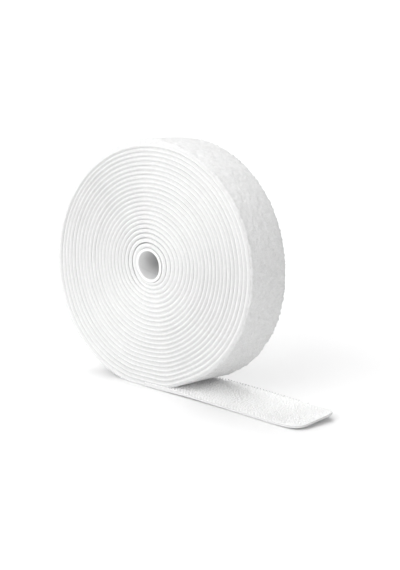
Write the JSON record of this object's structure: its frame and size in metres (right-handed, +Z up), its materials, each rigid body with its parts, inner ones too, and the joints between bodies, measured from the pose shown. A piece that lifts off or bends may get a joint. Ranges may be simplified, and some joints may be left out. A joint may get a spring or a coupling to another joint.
{
  "type": "roll of hook and loop tape",
  "caption": "Roll of white double-sided hook and loop tape wound on a thin core tube, standing on its rim with a short flat free end that bends.",
  "frame": {"origin": "on the surface that the roll stands on, straight under the core's axis, in the middle of the tape's width", "axes": "+X along the free end, away from the roll; Y along the core's axis; +Z up"},
  "size_m": [0.1331, 0.0254, 0.1028],
  "materials": {
    "core": "satin",
    "loop": "soft brushed pile",
    "hook": "fine stiff hooks"
  },
  "bodies": {
    "roll": {"core_tube": "core", "loop_ply_wound": "loop", "hook_ply_wound": "hook"},
    "free_end_1": {"loop_ply_free_end_1": "loop", "hook_ply_free_end_1": "hook"},
    "free_end_2": {"loop_ply_free_end_2": "loop", "hook_ply_free_end_2": "hook"},
    "free_end_3": {"loop_ply_free_end_3": "loop", "hook_ply_free_end_3": "hook"},
    "free_end_4": {"loop_ply_free_end_4": "loop", "hook_ply_free_end_4": "hook"},
    "free_end_5": {"loop_ply_free_end_5": "loop", "hook_ply_free_end_5": "hook"},
    "free_end_6": {"loop_ply_free_end_6": "loop", "hook_ply_free_end_6": "hook"},
    "free_end_7": {"loop_ply_free_end_7": "loop", "hook_ply_free_end_7": "hook"}
  },
  "joints": [
    {"name": "free_end_bend_1", "type": "hinge", "parent": "roll", "child": "free_end_1", "pos_m": [0.0054, 0, 0.00184], "axis": [0, -1, 0], "range_deg": [0, 11.5]},
    {"name": "free_end_bend_2", "type": "hinge", "parent": "free_end_1", "child": "free_end_2", "pos_m": [0.01605, 0, 0.00184], "axis": [0, -1, 0], "range_deg": [0, 11.5]},
    {"name": "free_end_bend_3", "type": "hinge", "parent": "free_end_2", "child": "free_end_3", "pos_m": [0.0267, 0, 0.00184], "axis": [0, -1, 0], "range_deg": [0, 11.5]},
    {"name": "free_end_bend_4", "type": "hinge", "parent": "free_end_3", "child": "free_end_4", "pos_m": [0.03735, 0, 0.00184], "axis": [0, -1, 0], "range_deg": [0, 11.5]},
    {"name": "free_end_bend_5", "type": "hinge", "parent": "free_end_4", "child": "free_end_5", "pos_m": [0.048, 0, 0.00184], "axis": [0, -1, 0], "range_deg": [0, 11.5]},
    {"name": "free_end_bend_6", "type": "hinge", "parent": "free_end_5", "child": "free_end_6", "pos_m": [0.05865, 0, 0.00184], "axis": [0, -1, 0], "range_deg": [0, 11.5]},
    {"name": "free_end_bend_7", "type": "hinge", "parent": "free_end_6", "child": "free_end_7", "pos_m": [0.0693, 0, 0.00184], "axis": [0, -1, 0], "range_deg": [0, 11.5]}
  ]
}
